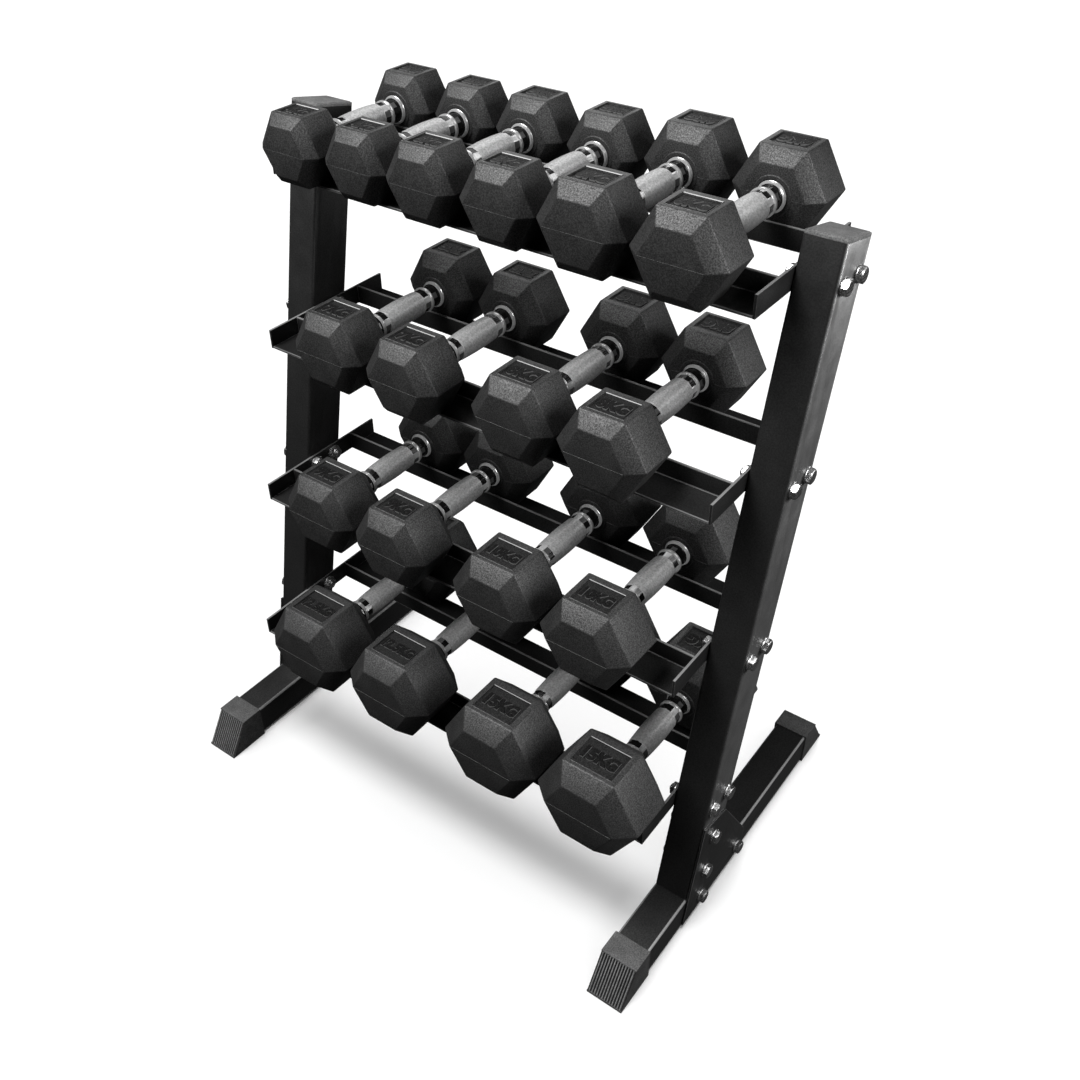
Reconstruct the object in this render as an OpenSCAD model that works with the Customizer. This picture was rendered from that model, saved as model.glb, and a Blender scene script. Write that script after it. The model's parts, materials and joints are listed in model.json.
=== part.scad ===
// Four-tray dumbbell rack with eighteen hexagonal dumbbells lying on it.
// +X is to the right, the front faces -Y, +Z is up, and the floor is z = 0.
// The origin is on the floor, midway between the legs and midway along them.

/* [Frame] */
// Width across the outer faces of the two uprights
frame_w = 760; // [740:2:800]
// Width of the leg and upright tubes
tube_w = 48; // [44:1:52]
// Depth of the upright tubes, front to back
upright_d = 64; // [60:1:70]
// Height of the leg tubes
leg_h = 49; // [46:1:54]
// Wall thickness of the tubes
tube_wall = 2; // [1.5:0.5:3]
// Outer corner radius of the tubes
tube_r = 4; // [3.5:0.5:6]
// Length of a leg over the toes of its feet
leg_len = 574; // [560:2:620]
// Length of an upright along its front face
upright_len = 868; // [850:1:900]
// Backward lean of the uprights, in degrees
lean = 12.2; // [11:0.1:13]
// Where the front of the upright meets the leg, forward of the leg's middle
upright_front = 129.5; // [125:0.5:135]

/* [Trays] */
// Height of the lowest tray above the floor
tray_low = 181; // [175:1:190]
// Height from one tray to the next
tray_pitch = 220; // [216:1:228]
// Reach of a side bracket forward of the upright's middle
bracket_front = 106; // [100:1:112]
// Reach of a side bracket behind the upright's middle
bracket_rear = 107; // [105:1:118]
// Height of the rails and of the side brackets
rail_h = 26; // [22:1:26]
// Thickness of the rail and bracket steel
steel_t = 3; // [2:0.5:4]
// Depth of the front rail's shelf, out to its edge
shelf_front = 47; // [42:1:47]
// Depth of the rear rail's shelf, out to its edge
shelf_rear = 46; // [45:1:50]

/* [Feet] */
// Wall thickness of the foot caps
foot_t = 2.2; // [1.5:0.1:3]
// Length of a foot cap along the top of the leg
foot_len = 33; // [25:1:40]
// How far the toe of a foot cap slants out at the floor
foot_flare = 32; // [20:1:36]

/* [Gussets] */
// Thickness of the gusset plates
gusset_t = 3; // [2:0.5:4]
// Height of a gusset's front corner above the floor
gusset_top = 172; // [165:1:176]
// How far a gusset's foot reaches behind the leg's middle
gusset_heel = 26; // [22:1:40]

/* [Fasteners] */
// Diameter of the bolts
bolt_d = 10; // [8:1:10]
// Clearance of the bolt holes on the diameter
hole_gap = 0.5; // [0.3:0.1:1]
// Distance across the flats of bolt heads and nuts
hex_flats = 17; // [13:0.5:17]
// Distance between the two bolts of a side bracket
bolt_pitch = 36; // [30:1:38]

/* [Dumbbell heads] */
// Across the flats of the 4 kg heads
flats_4 = 83.5; // [82:0.5:84]
// Across the flats of the 5 kg heads
flats_5 = 87.5; // [86:0.5:88]
// Across the flats of the 6 kg heads
flats_6 = 97; // [96:0.5:98.5]
// Across the flats of the 7 kg heads
flats_7 = 98; // [96:0.5:100]
// Across the flats of the 8 kg heads
flats_8 = 101; // [98:0.5:102]
// Across the flats of the 9 kg heads
flats_9 = 104; // [100:0.5:105]
// Across the flats of the 10 kg heads
flats_10 = 110; // [106:0.5:112]
// Across the flats of the 12.5 kg heads
flats_12 = 124; // [120:0.5:125]
// Across the flats of the 15 kg heads
flats_15 = 128; // [126:0.5:128.5]

/* [Dumbbell handles] */
// Room for the hand between the heads, up to 6 kg
grip_light = 128; // [126:0.5:134]
// Room for the hand between the heads, from 7 kg
grip_heavy = 135; // [132:1:142]
// Diameter of the grip at its middle
grip_d = 34; // [30:0.5:34]
// Diameter of the collar ring against each head
collar_d = 37; // [35:0.5:37.5]

/* [Hidden] */
leg_top = foot_t + leg_h;
tube_x = frame_w / 2 - tube_w / 2;
bracket_x = frame_w / 2 - tube_w - steel_t;
rail_len = 2 * bracket_x;
tube_fn = 32;
round_fn = 48;
cut = 1;
TIERS = [1, 2, 3, 4];

// Bolts: the head's height, the nut's height, its flange and the washer
head_h = 6.4;
nut_h = 8;
nut_flange_r = 11;
nut_flange_t = 2;
thread_past_nut = 3;
washer_t = 2;
washer_r = 10;
nut_gap = 0.05;

// Heights of the two gusset bolts in the upright, and places of the two in the leg
GUSSET_UPRIGHT_Z = [79, 137];
GUSSET_LEG_Y = [-94, 5];
gusset_edge = 9;
gusset_width = 56;

// Steel and rubber, in kg per cubic millimetre, which set the size of the iron cores
steel_density = 7.85e-6;
rubber_density = 1.2e-6;

// A dumbbell rests this far clear of the rail's shelf
rest_gap = 0.2;

// The handle from the head inwards: collar ring, neck, smooth band, grip
collar_len = 6;
neck_len = 10;
neck_d = 27;
band_len = 15;
band_d = 31;
spigot_d = 24;

// What lies on each tray from left to right: the mark in kilograms, where its middle is
// along the tray, and how far behind the tray's middle it was set down.
ROWS = [
    [[4, -276, -2.5], [4, -177, 3], [5, -76, 1], [5, 30, 1], [6, 142, 0.5], [6, 257, -2.5]],
    [[7, -188, -6], [7, -69, -6], [8, 89, 2], [8, 208, 2]],
    [[9, -190, -4], [9, -67, -4], [10, 102, -5], [10, 233, -5]],
    [[12.5, -197, 5], [12.5, -51, 8], [15, 125, 5], [15, 274, 5]],
];

// Front face and middle of the upright at height z
function upright_face(z) = -upright_front + (z - leg_top) * tan(lean);
function upright_mid(z) = upright_face(z) + upright_d / 2 / cos(lean);
function tray_z(tier) = tray_low + tray_pitch * (len(TIERS) - tier);
function tray_y(tier) = upright_mid(tray_z(tier));
function bracket_bolt_z(tier) = tray_z(tier) + rail_h / 2;

// Sizes of a head: across flats, inset and length of its end bevels, and its length
function flats(kg) = lookup(kg, [
    [4, flats_4], [5, flats_5], [6, flats_6], [7, flats_7], [8, flats_8],
    [9, flats_9], [10, flats_10], [12.5, flats_12], [15, flats_15]
]);
function bevel_in(kg) = 0.21 * flats(kg) - 5.4;
function bevel_len(kg) = 0.18 * flats(kg) - 2;
function straight_len(kg) = 0.41 * flats(kg) + 9;
function head_len(kg) = straight_len(kg) + 2 * bevel_len(kg);
function grip_len(kg) = kg > 6 ? grip_heavy : grip_light;

// Volume of a head, and the scale of the iron core that brings the dumbbell to its mark
function hex_area(f) = sqrt(3) / 2 * f * f;
function frustum(a, b, h) = h / 3 * (a + b + sqrt(a * b));
function head_volume(kg) = hex_area(flats(kg)) * straight_len(kg)
    + 2 * frustum(hex_area(flats(kg)), hex_area(flats(kg) - 2 * bevel_in(kg)), bevel_len(kg));
function handle_mass(kg) = steel_density * PI / 4 * (grip_len(kg) * pow(band_d, 2));
function core_volume(kg) = ((kg - handle_mass(kg)) / 2 - rubber_density * head_volume(kg))
    / (steel_density - rubber_density);
function core_scale(kg) = pow(core_volume(kg) / head_volume(kg), 1 / 3);

// Names: the mark, then a or b for the left and the right one of the pair
function mark_name(kg) = kg == 12.5 ? "12_5kg" : str(kg, "kg");
function item_name(item, i) = str("dumbbell_", mark_name(item[0]), i % 2 == 0 ? "_a" : "_b");

RACK_NODES = [
    "left_leg", "right_leg", "left_upright", "right_upright", "upright_top_caps",
    "front_left_foot", "front_right_foot", "rear_left_foot", "rear_right_foot",
    "left_gusset", "right_gusset",
    "tier_1_front_rail", "tier_1_rear_rail", "tier_2_front_rail", "tier_2_rear_rail",
    "tier_3_front_rail", "tier_3_rear_rail", "tier_4_front_rail", "tier_4_rear_rail",
    "left_brackets", "right_brackets", "hex_bolts", "washers", "flange_nuts"
];

// ---- Shapes that several pieces share ----

module on_both_sides() {
    children();
    mirror([1, 0, 0]) children();
}

module rounded_rect(w, d, r) {
    square([w - 2 * r, d], center = true);
    square([w, d - 2 * r], center = true);
    for (x = [-1, 1])
        for (y = [-1, 1])
            translate([x * (w / 2 - r), y * (d / 2 - r)]) circle(r, $fn = tube_fn);
}

module tube_section(w, d) {
    difference() {
        rounded_rect(w, d, tube_r);
        rounded_rect(w - 2 * tube_wall, d - 2 * tube_wall, tube_r - tube_wall);
    }
}

// Puts a piece drawn about the axis of an upright, standing on z = 0, into its leaning place
module in_right_upright() {
    translate([tube_x, -upright_front, leg_top])
        rotate([-lean, 0, 0])
            translate([0, upright_d / 2, 0])
                children();
}

// A cylinder along X, starting at x
module x_rod(x, y, z, r, length, sides = round_fn) {
    translate([x, y, z]) rotate([0, 90, 0]) cylinder(r = r, h = length, $fn = sides);
}

module bolt_places_upright() {
    for (tier = TIERS)
        for (side = [-1, 1])
            translate([0, upright_mid(bracket_bolt_z(tier)) + side * bolt_pitch / 2,
                bracket_bolt_z(tier)])
                children();
}

module bolt_places_gusset() {
    for (z = GUSSET_UPRIGHT_Z) translate([0, upright_mid(z), z]) children();
    for (y = GUSSET_LEG_Y) translate([0, y, foot_t + leg_h / 2]) children();
}

module bolt_hole(x, length) {
    x_rod(x, 0, 0, (bolt_d + hole_gap) / 2, length);
}

// ---- Frame ----

module leg() {
    color("#1b1b1c")
        difference() {
            translate([tube_x, leg_len / 2 - foot_flare - foot_t, foot_t + leg_h / 2])
                rotate([90, 0, 0])
                    linear_extrude(leg_len - 2 * foot_flare - 2 * foot_t)
                        tube_section(tube_w, leg_h);
            bolt_places_gusset() bolt_hole(tube_x - tube_w / 2 - cut, tube_w + 2 * cut);
        }
}

module upright() {
    below = 20;
    color("#1b1b1c")
        difference() {
            in_right_upright()
                translate([0, 0, -below])
                    linear_extrude(upright_len + below)
                        tube_section(tube_w, upright_d);
            translate([tube_x - tube_w, -leg_len / 2, leg_top - 2 * below])
                cube([2 * tube_w, leg_len, 2 * below]);
            bolt_places_upright() bolt_hole(tube_x - tube_w / 2 - cut, tube_w + 2 * cut);
            bolt_places_gusset() bolt_hole(tube_x - tube_w / 2 - cut, tube_w + 2 * cut);
        }
}

module top_cap() {
    plate_t = 3.5;
    crown_t = 1;
    crown_in = 2;
    plug_depth = 14;
    plug_gap = 0.2;
    plug_w = tube_w - 2 * tube_wall - 2 * plug_gap;
    plug_d = upright_d - 2 * tube_wall - 2 * plug_gap;
    color("#2b2b2c")
        in_right_upright()
            translate([0, 0, upright_len]) {
                linear_extrude(plate_t) rounded_rect(tube_w, upright_d, tube_r);
                translate([0, 0, plate_t])
                    linear_extrude(crown_t)
                        rounded_rect(tube_w - 2 * crown_in, upright_d - 2 * crown_in, tube_r - crown_in);
                translate([0, 0, -plug_depth])
                    linear_extrude(plug_depth)
                        difference() {
                            rounded_rect(plug_w, plug_d, tube_r - tube_wall);
                            square([plug_w - 2 * foot_t, plug_d - 2 * foot_t], center = true);
                        }
            }
}

// The foot cap on the rear right end: a sleeve with a hollow toe that slants out to the floor
module foot() {
    top_end = leg_len / 2 - foot_flare;
    toe = leg_len / 2;
    rim_h = 3;
    height = leg_h + 2 * foot_t;
    width = tube_w + 2 * foot_t;
    hollow_top = top_end - foot_t;
    color("#4a4a4a")
        translate([tube_x, 0, 0])
            difference() {
                rotate([90, 0, 90])
                    translate([0, 0, -width / 2])
                        linear_extrude(width)
                            polygon([
                                [top_end - foot_len, 0], [toe, 0], [toe, rim_h],
                                [top_end, height], [top_end - foot_len, height]
                            ]);
                translate([-tube_w / 2, top_end - foot_len - cut, foot_t])
                    cube([tube_w, foot_len + cut - foot_t, leg_h]);
                rotate([90, 0, 90])
                    translate([0, 0, -tube_w / 2])
                        linear_extrude(tube_w)
                            polygon([
                                [hollow_top - cut, foot_t], [toe - 2 * foot_t, foot_t],
                                [hollow_top, leg_top - foot_t], [hollow_top - cut, leg_top - foot_t]
                            ]);
            }
}

// Outer plate that ties the upright to the leg; its front and top edges follow the upright
module gusset() {
    front_top = upright_face(gusset_top);
    color("#1b1b1c")
        difference() {
            translate([frame_w / 2, 0, 0])
                rotate([90, 0, 90])
                    linear_extrude(gusset_t)
                        polygon([
                            [upright_face(gusset_edge), gusset_edge],
                            [gusset_heel, gusset_edge],
                            [gusset_heel - 2, leg_top - 4],
                            [front_top + gusset_width * cos(lean),
                                gusset_top - gusset_width * sin(lean)],
                            [front_top, gusset_top]
                        ]);
            bolt_places_gusset() bolt_hole(frame_w / 2 - cut, gusset_t + 2 * cut);
        }
}

// ---- Trays ----

// An angle bar: its shelf lies level and reaches out from the foot of its inner wall
module rail(shelf) {
    color("#19191a")
        translate([-rail_len / 2, 0, 0])
            rotate([90, 0, 90])
                linear_extrude(rail_len) {
                    square([shelf + steel_t, steel_t]);
                    square([steel_t, rail_h]);
                }
}

module rear_rail(tier) {
    translate([0, tray_y(tier) + bracket_rear - shelf_rear - steel_t, tray_z(tier)])
        rail(shelf_rear);
}

module front_rail(tier) {
    translate([0, tray_y(tier) - bracket_front + shelf_front + steel_t, tray_z(tier)])
        mirror([0, 1, 0]) rail(shelf_front);
}

module brackets() {
    color("#19191a")
        difference() {
            for (tier = TIERS)
                translate([bracket_x, tray_y(tier) - bracket_front, tray_z(tier)])
                    cube([steel_t, bracket_front + bracket_rear, rail_h]);
            bolt_places_upright() bolt_hole(bracket_x - cut, steel_t + 2 * cut);
        }
}

// ---- Fasteners, drawn for the right side: the heads are outside and the nuts inside ----

module bolt(head_x, nut_x) {
    x_rod(head_x, 0, 0, hex_flats / sqrt(3), head_h, 6);
    x_rod(nut_x - nut_h - thread_past_nut, 0, 0, bolt_d / 2,
        head_x - nut_x + nut_h + thread_past_nut);
}

module washer(x) {
    difference() {
        x_rod(x, 0, 0, washer_r, washer_t);
        x_rod(x - cut, 0, 0, (bolt_d + hole_gap) / 2, washer_t + 2 * cut);
    }
}

module nut(x) {
    difference() {
        union() {
            x_rod(x - nut_flange_t, 0, 0, nut_flange_r, nut_flange_t);
            x_rod(x - nut_h, 0, 0, hex_flats / sqrt(3), nut_h, 6);
        }
        x_rod(x - nut_h - cut, 0, 0, bolt_d / 2 + nut_gap, nut_h + 2 * cut);
    }
}

module hex_bolts() {
    outside = frame_w / 2 + washer_t;
    inside = frame_w / 2 - tube_w;
    color("#c9c9cc")
        on_both_sides() {
            bolt_places_upright() bolt(outside, inside - steel_t);
            bolt_places_gusset() bolt(outside + gusset_t, inside);
        }
}

module washers() {
    color("#c9c9cc")
        on_both_sides() {
            bolt_places_upright() washer(frame_w / 2);
            bolt_places_gusset() washer(frame_w / 2 + gusset_t);
        }
}

module flange_nuts() {
    inside = frame_w / 2 - tube_w;
    color("#c9c9cc")
        on_both_sides() {
            bolt_places_upright() nut(inside - steel_t);
            bolt_places_gusset() nut(inside);
        }
}

// ---- Dumbbells: each lies along Y, with flats of its heads above and below ----

// Side view of a head through two opposite flats, halved along its length
module head_section(kg, k) {
    half = k * head_len(kg) / 2;
    wide = k * flats(kg) / 2;
    b = k * bevel_len(kg);
    inset = k * bevel_in(kg);
    polygon([
        [-half, inset - wide], [b - half, -wide], [half - b, -wide], [half, inset - wide],
        [half, wide - inset], [half - b, wide], [b - half, wide], [-half, wide - inset]
    ]);
}

// A hexagonal head with bevelled ends, centred, k times full size
module head_block(kg, k) {
    reach = flats(kg);
    intersection_for(turn = [0, 60, 120])
        rotate([0, turn, 0])
            rotate([90, 0, 90])
                translate([0, 0, -reach])
                    linear_extrude(2 * reach) head_section(kg, k);
}

module at_both_heads(kg) {
    for (side = [-1, 1])
        translate([0, side * (grip_len(kg) + head_len(kg)) / 2, 0]) children();
}

// The rubber covers, moulded round the iron cores, with a hole for the handle
module heads(kg) {
    color("#242425")
        difference() {
            at_both_heads(kg) head_block(kg, 1);
            at_both_heads(kg) head_block(kg, core_scale(kg));
            rotate([90, 0, 0])
                cylinder(d = spigot_d, h = grip_len(kg) + head_len(kg), center = true, $fn = round_fn);
        }
}

// Half outline of the handle, radius against place along it
module handle_outline(kg) {
    core_face = grip_len(kg) / 2 + head_len(kg) / 2 * (1 - core_scale(kg));
    collar = grip_len(kg) / 2 - collar_len;
    band = collar - neck_len;
    grip = band - band_len;
    arc = 6;
    profile = [
        [spigot_d / 2, core_face], [spigot_d / 2, grip_len(kg) / 2],
        [collar_d / 2, grip_len(kg) / 2], [collar_d / 2, collar],
        [neck_d / 2, collar], [neck_d / 2, band], [band_d / 2, band]
    ];
    bulge = [
        for (i = [-arc : arc])
            [band_d / 2 + (grip_d - band_d) / 2 * cos(90 * i / arc), -grip * i / arc]
    ];
    mirrored = [for (i = [len(profile) - 1 : -1 : 0]) [profile[i][0], -profile[i][1]]];
    polygon(concat([[0, core_face]], profile, bulge, mirrored, [[0, -core_face]]));
}

// The steel handle and the two iron cores that its ends are pressed against
module bar(kg) {
    color("#b9babd") {
        rotate([-90, 0, 0]) rotate_extrude($fn = round_fn) handle_outline(kg);
        at_both_heads(kg) head_block(kg, core_scale(kg));
    }
}

module place(tier, item) {
    translate([item[1], tray_y(tier) + item[2],
        tray_z(tier) + steel_t + rest_gap + flats(item[0]) / 2])
        children();
}

// ---- Nodes ----

mirror([1, 0, 0]) leg();  // left_leg
leg();  // right_leg
mirror([1, 0, 0]) upright();  // left_upright
upright();  // right_upright
on_both_sides() top_cap();  // upright_top_caps
rotate([0, 0, 180]) foot();  // front_left_foot
mirror([0, 1, 0]) foot();  // front_right_foot
mirror([1, 0, 0]) foot();  // rear_left_foot
foot();  // rear_right_foot
mirror([1, 0, 0]) gusset();  // left_gusset
gusset();  // right_gusset
for (tier = TIERS) {
    front_rail(tier);
    rear_rail(tier);
}
mirror([1, 0, 0]) brackets();  // left_brackets
brackets();  // right_brackets
hex_bolts();
washers();
flange_nuts();
for (tier = TIERS)
    for (i = [0 : len(ROWS[tier - 1]) - 1]) {
        item = ROWS[tier - 1][i];
        name = item_name(item, i);
        place(tier, item) heads(item[0]);
        place(tier, item) bar(item[0]);
    }
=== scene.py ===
"""Looks of the loaded dumbbell rack. Metres, in the frame of the CAD part."""

import json
import math

import bmesh
import bpy
from mathutils import Matrix, Vector

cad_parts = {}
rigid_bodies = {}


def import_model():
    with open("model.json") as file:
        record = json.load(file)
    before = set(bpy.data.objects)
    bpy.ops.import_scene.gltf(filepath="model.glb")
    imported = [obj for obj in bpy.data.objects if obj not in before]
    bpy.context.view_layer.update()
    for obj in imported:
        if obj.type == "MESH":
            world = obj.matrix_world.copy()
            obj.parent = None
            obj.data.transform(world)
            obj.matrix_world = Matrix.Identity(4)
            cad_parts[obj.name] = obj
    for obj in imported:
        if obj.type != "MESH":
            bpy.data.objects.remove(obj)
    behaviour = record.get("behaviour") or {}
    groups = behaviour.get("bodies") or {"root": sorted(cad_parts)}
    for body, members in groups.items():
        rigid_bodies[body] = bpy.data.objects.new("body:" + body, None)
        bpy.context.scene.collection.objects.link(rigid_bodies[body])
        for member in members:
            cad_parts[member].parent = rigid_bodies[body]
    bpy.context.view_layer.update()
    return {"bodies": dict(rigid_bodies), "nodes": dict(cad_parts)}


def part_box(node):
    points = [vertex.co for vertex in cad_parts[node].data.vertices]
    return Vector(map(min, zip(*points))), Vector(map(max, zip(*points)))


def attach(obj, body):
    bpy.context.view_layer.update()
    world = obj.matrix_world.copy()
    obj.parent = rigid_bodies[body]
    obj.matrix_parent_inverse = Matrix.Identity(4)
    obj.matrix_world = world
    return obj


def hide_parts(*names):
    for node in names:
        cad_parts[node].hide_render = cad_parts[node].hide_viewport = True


MM = 0.001
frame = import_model()
NODES = frame["nodes"]


# ---------------------------------------------------------------- materials

class Nodes:
    """A node material, built up by short calls."""

    def __init__(self, name):
        self.mat = bpy.data.materials.new(name)
        self.mat.use_nodes = True
        self.tree = self.mat.node_tree
        self.shader = self.tree.nodes["Principled BSDF"]
        self.coords = self.tree.nodes.new("ShaderNodeTexCoord")

    def set(self, **values):
        for key, value in values.items():
            self.shader.inputs[key.replace("_", " ")].default_value = value
        return self

    def noise(self, scale, detail=3.0, roughness=0.55, stretch=None):
        node = self.tree.nodes.new("ShaderNodeTexNoise")
        node.inputs["Scale"].default_value = scale
        node.inputs["Detail"].default_value = detail
        node.inputs["Roughness"].default_value = roughness
        source = self.coords.outputs["Object"]
        if stretch:
            mapping = self.tree.nodes.new("ShaderNodeMapping")
            mapping.inputs["Scale"].default_value = stretch
            self.tree.links.new(source, mapping.inputs["Vector"])
            source = mapping.outputs["Vector"]
        self.tree.links.new(source, node.inputs["Vector"])
        return node.outputs["Fac"]

    def ramp(self, fac, stops):
        node = self.tree.nodes.new("ShaderNodeValToRGB")
        ramp = node.color_ramp
        while len(ramp.elements) < len(stops):
            ramp.elements.new(0.5)
        for element, (place, value) in zip(ramp.elements, stops):
            element.position = place
            element.color = (*value, 1) if hasattr(value, "__len__") else (value, value, value, 1)
        self.tree.links.new(fac, node.inputs["Fac"])
        return node.outputs["Color"]

    def mix(self, fac, a, b, blend="MIX"):
        node = self.tree.nodes.new("ShaderNodeMix")
        node.data_type = "RGBA"
        node.blend_type = blend
        for value, socket in ((fac, node.inputs["Factor"]), (a, node.inputs[6]), (b, node.inputs[7])):
            if isinstance(value, bpy.types.NodeSocket):
                self.tree.links.new(value, socket)
            else:
                socket.default_value = value
        return node.outputs[2]

    def link(self, output, name):
        self.tree.links.new(output, self.shader.inputs[name])
        return self

    def bump(self, height, strength, distance):
        node = self.tree.nodes.new("ShaderNodeBump")
        node.inputs["Strength"].default_value = strength
        node.inputs["Distance"].default_value = distance
        self.tree.links.new(height, node.inputs["Height"])
        self.tree.links.new(node.outputs["Normal"], self.shader.inputs["Normal"])
        return self


def powder_coat(name, dark, light, smooth, rough):
    """A fine-grained coat whose shade and gloss drift slowly over the steel."""
    m = Nodes(name)
    fine = m.noise(560, 2)
    m.link(m.ramp(fine, [(0.34, 0.3), (0.66, 0.56)]), "Specular IOR Level")
    cloud = m.noise(9, 4)
    m.link(m.ramp(cloud, [(0.3, dark), (0.7, light)]), "Base Color")
    m.link(m.ramp(m.noise(40, 5), [(0.3, smooth), (0.7, rough)]), "Roughness")
    m.bump(fine, 0.12, 0.0002)
    return m.mat


def rubber(name, dark, light, rough, shine=1.0):
    """Grainy moulded rubber with dusty patches."""
    m = Nodes(name)
    grain = m.noise(680, 2.0, 0.7)
    blotch = m.noise(26, 5, 0.6)
    speck = m.ramp(grain, [(0.38, dark * 1.5), (0.52, (dark + light) / 2), (0.68, light * 0.85)])
    dusty = m.mix(m.ramp(blotch, [(0.45, 0.0), (0.8, 0.4)]), speck,
                  (light * 1.35, light * 1.35, light * 1.33, 1))
    m.link(dusty, "Base Color")
    gloss = m.ramp(grain, [(0.38, 0.2 * shine), (0.5, 0.45 * shine), (0.64, 0.85 * shine)])
    m.link(gloss, "Specular IOR Level")
    m.link(m.ramp(blotch, [(0.3, rough), (0.75, rough + 0.12)]), "Roughness")
    m.bump(grain, 0.4, 0.0003)
    return m.mat


def moulded_plastic(name, dark, light):
    """Matt plastic with the grain of its mould."""
    m = Nodes(name)
    grain = m.noise(620, 2.5, 0.7)
    patch = m.ramp(m.noise(60, 4), [(0.3, dark), (0.75, light)])
    speck = m.ramp(grain, [(0.36, 0.55), (0.66, 1.3)])
    m.link(m.mix(1.0, patch, speck, "MULTIPLY"), "Base Color")
    m.link(m.ramp(grain, [(0.36, 0.25), (0.66, 0.6)]), "Specular IOR Level")
    m.link(m.ramp(grain, [(0.3, 0.48), (0.7, 0.62)]), "Roughness")
    m.bump(grain, 0.6, 0.0006)
    return m.mat


def plated(name, base, rough_low, rough_high, metallic, even=0.86, scratch=0.0):
    """Plated metal with drawn streaks in its gloss; even is its darkest share of base."""
    m = Nodes(name).set(Metallic=metallic)
    m.link(m.ramp(m.noise(420, 3), [(0.36, base * even), (0.64, base)]), "Base Color")
    streaks = m.noise(500, 4, 0.6, (1, 0.05, 1))
    m.link(m.ramp(streaks, [(0.3, rough_low), (0.72, rough_high)]), "Roughness")
    if scratch:
        m.bump(m.noise(1400, 2), scratch, 0.0002)
    return m.mat


POWDER = powder_coat("powder_coat_black", 0.0085, 0.0125, 0.34, 0.44)
# a lighter coat for eased edges and some top faces: a painted highlight
POWDER_EDGE_HIGHLIGHT = powder_coat("powder_coat_painted_edge_highlight", 0.1, 0.19, 0.28, 0.4)
# rubber: the heads, a painted highlight (a catch-light) on a panel's rear wall, the panel, and the
# figures, with a painted highlight on their sides and painted shade on their tops
RUBBER = rubber("rubber_black", 0.0075, 0.021, 0.5)
# a light rubber painted on the panel's rear wall as a highlight
RUBBER_CATCHLIGHT = rubber("rubber_painted_catchlight", 0.3, 0.5, 0.36)
RUBBER_PANEL = rubber("rubber_label_panel", 0.0035, 0.008, 0.6, 0.5)
# the figures' sides are painted lighter as a highlight, and their tops darker as shade
RUBBER_LETTER_HIGHLIGHT = rubber("rubber_letter_edge_painted_highlight", 0.07, 0.13, 0.42)
RUBBER_FIGURE_SHADE = rubber("rubber_letter_top_painted_shade", 0.0012, 0.0025, 0.6, 0.3)
FOOT = moulded_plastic("foot_plastic_grey", 0.05, 0.08)
# a darker plastic for the recess of the toe between the ribs: painted shade
FOOT_PAINTED_SHADE = moulded_plastic("foot_plastic_painted_shade_between_ribs", 0.006, 0.012)
# a lighter plastic for the crowns of the ribs: a painted highlight
FOOT_RIB_HIGHLIGHT = moulded_plastic("foot_plastic_painted_rib_highlight", 0.11, 0.2)
CAP = moulded_plastic("cap_plastic_black", 0.1, 0.16)
# a darker plastic for the side walls of the foot cap: painted shade
FOOT_SIDE_SHADE = moulded_plastic("foot_plastic_side_painted_shade", 0.022, 0.04)
ZINC = plated("zinc_plate", 0.62, 0.2, 0.36, 1.0, scratch=0.1)
CHROME = plated("chrome_polished", 0.8, 0.16, 0.26, 0.45)
# painted reflections: dark, grey and bright chrome for the flats round a band
BAND_PAINTED_DARK = plated("chrome_band_painted_dark_reflection", 0.02, 0.12, 0.2, 0.6)
BAND_PAINTED_GREY = plated("chrome_band_painted_grey_reflection", 0.22, 0.14, 0.22, 0.5)
BAND_PAINTED_BRIGHT = plated("chrome_band_bright", 0.85, 0.14, 0.22, 0.3)
# a dark chrome for the neck: a painted dark reflection
CHROME_NECK_DARKENED = plated("chrome_neck_painted_dark_reflection", 0.03, 0.16, 0.26, 0.7)
KNURL = plated("chrome_knurled", 0.72, 0.36, 0.48, 0.25, 0.62)


# ---------------------------------------------------------------- mesh tools

WELD = 2e-6


def piece(name, mesh, body, materials, node, place=(0, 0, 0), spin=0.0):
    """Shows a mesh instead of one CAD node, riding on the node's body."""
    obj = bpy.data.objects.new(name, mesh)
    bpy.context.scene.collection.objects.link(obj)
    if not mesh.materials:
        for material in materials:
            mesh.materials.append(material)
    obj.location = place
    obj.rotation_euler = (0, spin, 0)
    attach(obj, body)
    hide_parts(node)


def mesh_from(bm, name, smooth_angle=35):
    """The bmesh as a mesh that is shaded smooth, except over edges sharper than smooth_angle."""
    bm.normal_update()
    mesh = bpy.data.meshes.new(name)
    bm.to_mesh(mesh)
    bm.free()
    limit = math.radians(smooth_angle)
    for polygon in mesh.polygons:
        polygon.use_smooth = True
    work = bmesh.new()
    work.from_mesh(mesh)
    for edge in work.edges:
        edge.smooth = len(edge.link_faces) == 2 and edge.calc_face_angle(0) < limit
    work.to_mesh(mesh)
    work.free()
    return mesh


def join(target, part):
    """Moves one bmesh into another."""
    temp = bpy.data.meshes.new("part_temp")
    part.to_mesh(temp)
    part.free()
    target.from_mesh(temp)
    bpy.data.meshes.remove(temp)


def bevel_sharp(bm, width, angle=28, material=-1):
    """Eases every edge that is sharper than angle; material -1 takes the neighbours' own."""
    edges = [e for e in bm.edges if len(e.link_faces) == 2 and e.calc_face_angle(0) > math.radians(angle)]
    bmesh.ops.bevel(bm, geom=edges, offset=width, offset_type="OFFSET", segments=2,
                    profile=0.7, affect="EDGES", clamp_overlap=True, material=material)


def bridge(bm, a, b):
    """Joins two closed rings of vertices with quads."""
    for j in range(len(a)):
        k = (j + 1) % len(a)
        bm.faces.new((a[j], a[k], b[k], b[j]))


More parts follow.
